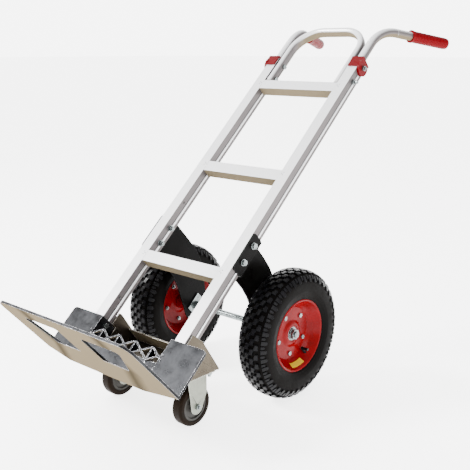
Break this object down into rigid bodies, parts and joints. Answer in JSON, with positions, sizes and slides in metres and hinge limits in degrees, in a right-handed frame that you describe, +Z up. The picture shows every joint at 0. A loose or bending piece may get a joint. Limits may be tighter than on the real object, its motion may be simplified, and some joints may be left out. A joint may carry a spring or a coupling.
{
  "type": "hand truck",
  "caption": "Aluminium hand truck laid back on pneumatic wheels and rear casters, with a ribbed nose plate, loop handle and angled grips.",
  "frame": {"origin": "middle of the footprint on the floor, with the truck laid back on its wheels and casters", "axes": "+X across the truck towards its right-hand wheel seen from the handles' back, -Y towards the nose plate, +Y towards the handles, +Z up from the floor"},
  "size_m": [0.4806, 1.2662, 0.925],
  "materials": {
    "frame_aluminium": "satin extruded aluminium, lightly scuffed",
    "cast_aluminium": "matte cast aluminium with polished edges",
    "bright_aluminium": "bent sheet, reflective",
    "zinc_steel": "zinc plated",
    "caster_steel": "zinc plated pressed steel",
    "black_paint": "semi-gloss black",
    "red_paint": "gloss red",
    "red_grip": "soft red, ribbed",
    "red_cap": "moulded red",
    "tyre_rubber": "black, tread blocks",
    "black_rubber": "smooth black",
    "caster_rubber": "black brown, matte",
    "caster_hub": "grey moulded hub"
  },
  "bodies": {
    "frame": {"nose_plate": "cast_aluminium", "rail_left": "frame_aluminium", "rail_right": "frame_aluminium", "rung_lower": "frame_aluminium", "rung_middle": "frame_aluminium", "rung_upper": "frame_aluminium", "loop_handle": "frame_aluminium", "handle_tube_left": "frame_aluminium", "handle_tube_right": "frame_aluminium", "grip_left": "red_grip", "grip_right": "red_grip", "rail_cap_left": "red_cap", "rail_cap_right": "red_cap", "wheel_bracket_left": "black_paint", "wheel_bracket_right": "black_paint", "caster_bracket": "bright_aluminium", "caster_fork_left": "caster_steel", "caster_fork_right": "caster_steel", "nose_plate_bolts": "zinc_steel", "nose_plate_nuts": "zinc_steel", "loop_bolts": "zinc_steel", "loop_nuts": "zinc_steel", "bracket_bolts": "zinc_steel", "bracket_washers": "zinc_steel", "bracket_nuts": "zinc_steel", "axle": "zinc_steel", "axle_plates": "zinc_steel", "axle_spacers": "zinc_steel", "axle_nuts": "zinc_steel", "caster_mount_bolts": "zinc_steel", "caster_mount_nuts": "zinc_steel", "caster_axles": "zinc_steel", "caster_axle_nuts": "zinc_steel"},
    "wheel_left": {"tyre_left": "tyre_rubber", "inner_tube_left": "black_rubber", "valve_left": "black_rubber", "rim_outer_left": "red_paint", "rim_inner_left": "red_paint", "hub_left": "red_paint", "wheel_bearings_left": "zinc_steel", "rim_bolts_left": "zinc_steel", "rim_nuts_left": "zinc_steel"},
    "wheel_right": {"tyre_right": "tyre_rubber", "inner_tube_right": "black_rubber", "valve_right": "black_rubber", "rim_outer_right": "red_paint", "rim_inner_right": "red_paint", "hub_right": "red_paint", "wheel_bearings_right": "zinc_steel", "rim_bolts_right": "zinc_steel", "rim_nuts_right": "zinc_steel"},
    "caster_wheel_left": {"caster_tyre_left": "caster_rubber", "caster_core_left": "caster_hub", "caster_bush_left": "zinc_steel"},
    "caster_wheel_right": {"caster_tyre_right": "caster_rubber", "caster_core_right": "caster_hub", "caster_bush_right": "zinc_steel"}
  },
  "joints": [
    {"name": "wheel_left_spin", "type": "hinge", "parent": "frame", "child": "wheel_left", "pos_m": [-0.1975, -0.07161, 0.1665], "axis": [1, 0, 0], "continuous": true},
    {"name": "wheel_right_spin", "type": "hinge", "parent": "frame", "child": "wheel_right", "pos_m": [0.1975, -0.07161, 0.1665], "axis": [1, 0, 0], "continuous": true},
    {"name": "caster_left_spin", "type": "hinge", "parent": "frame", "child": "caster_wheel_left", "pos_m": [-0.1277, -0.35565, 0.05], "axis": [1, 0, 0], "continuous": true},
    {"name": "caster_right_spin", "type": "hinge", "parent": "frame", "child": "caster_wheel_right", "pos_m": [0.1277, -0.35565, 0.05], "axis": [1, 0, 0], "continuous": true}
  ]
}
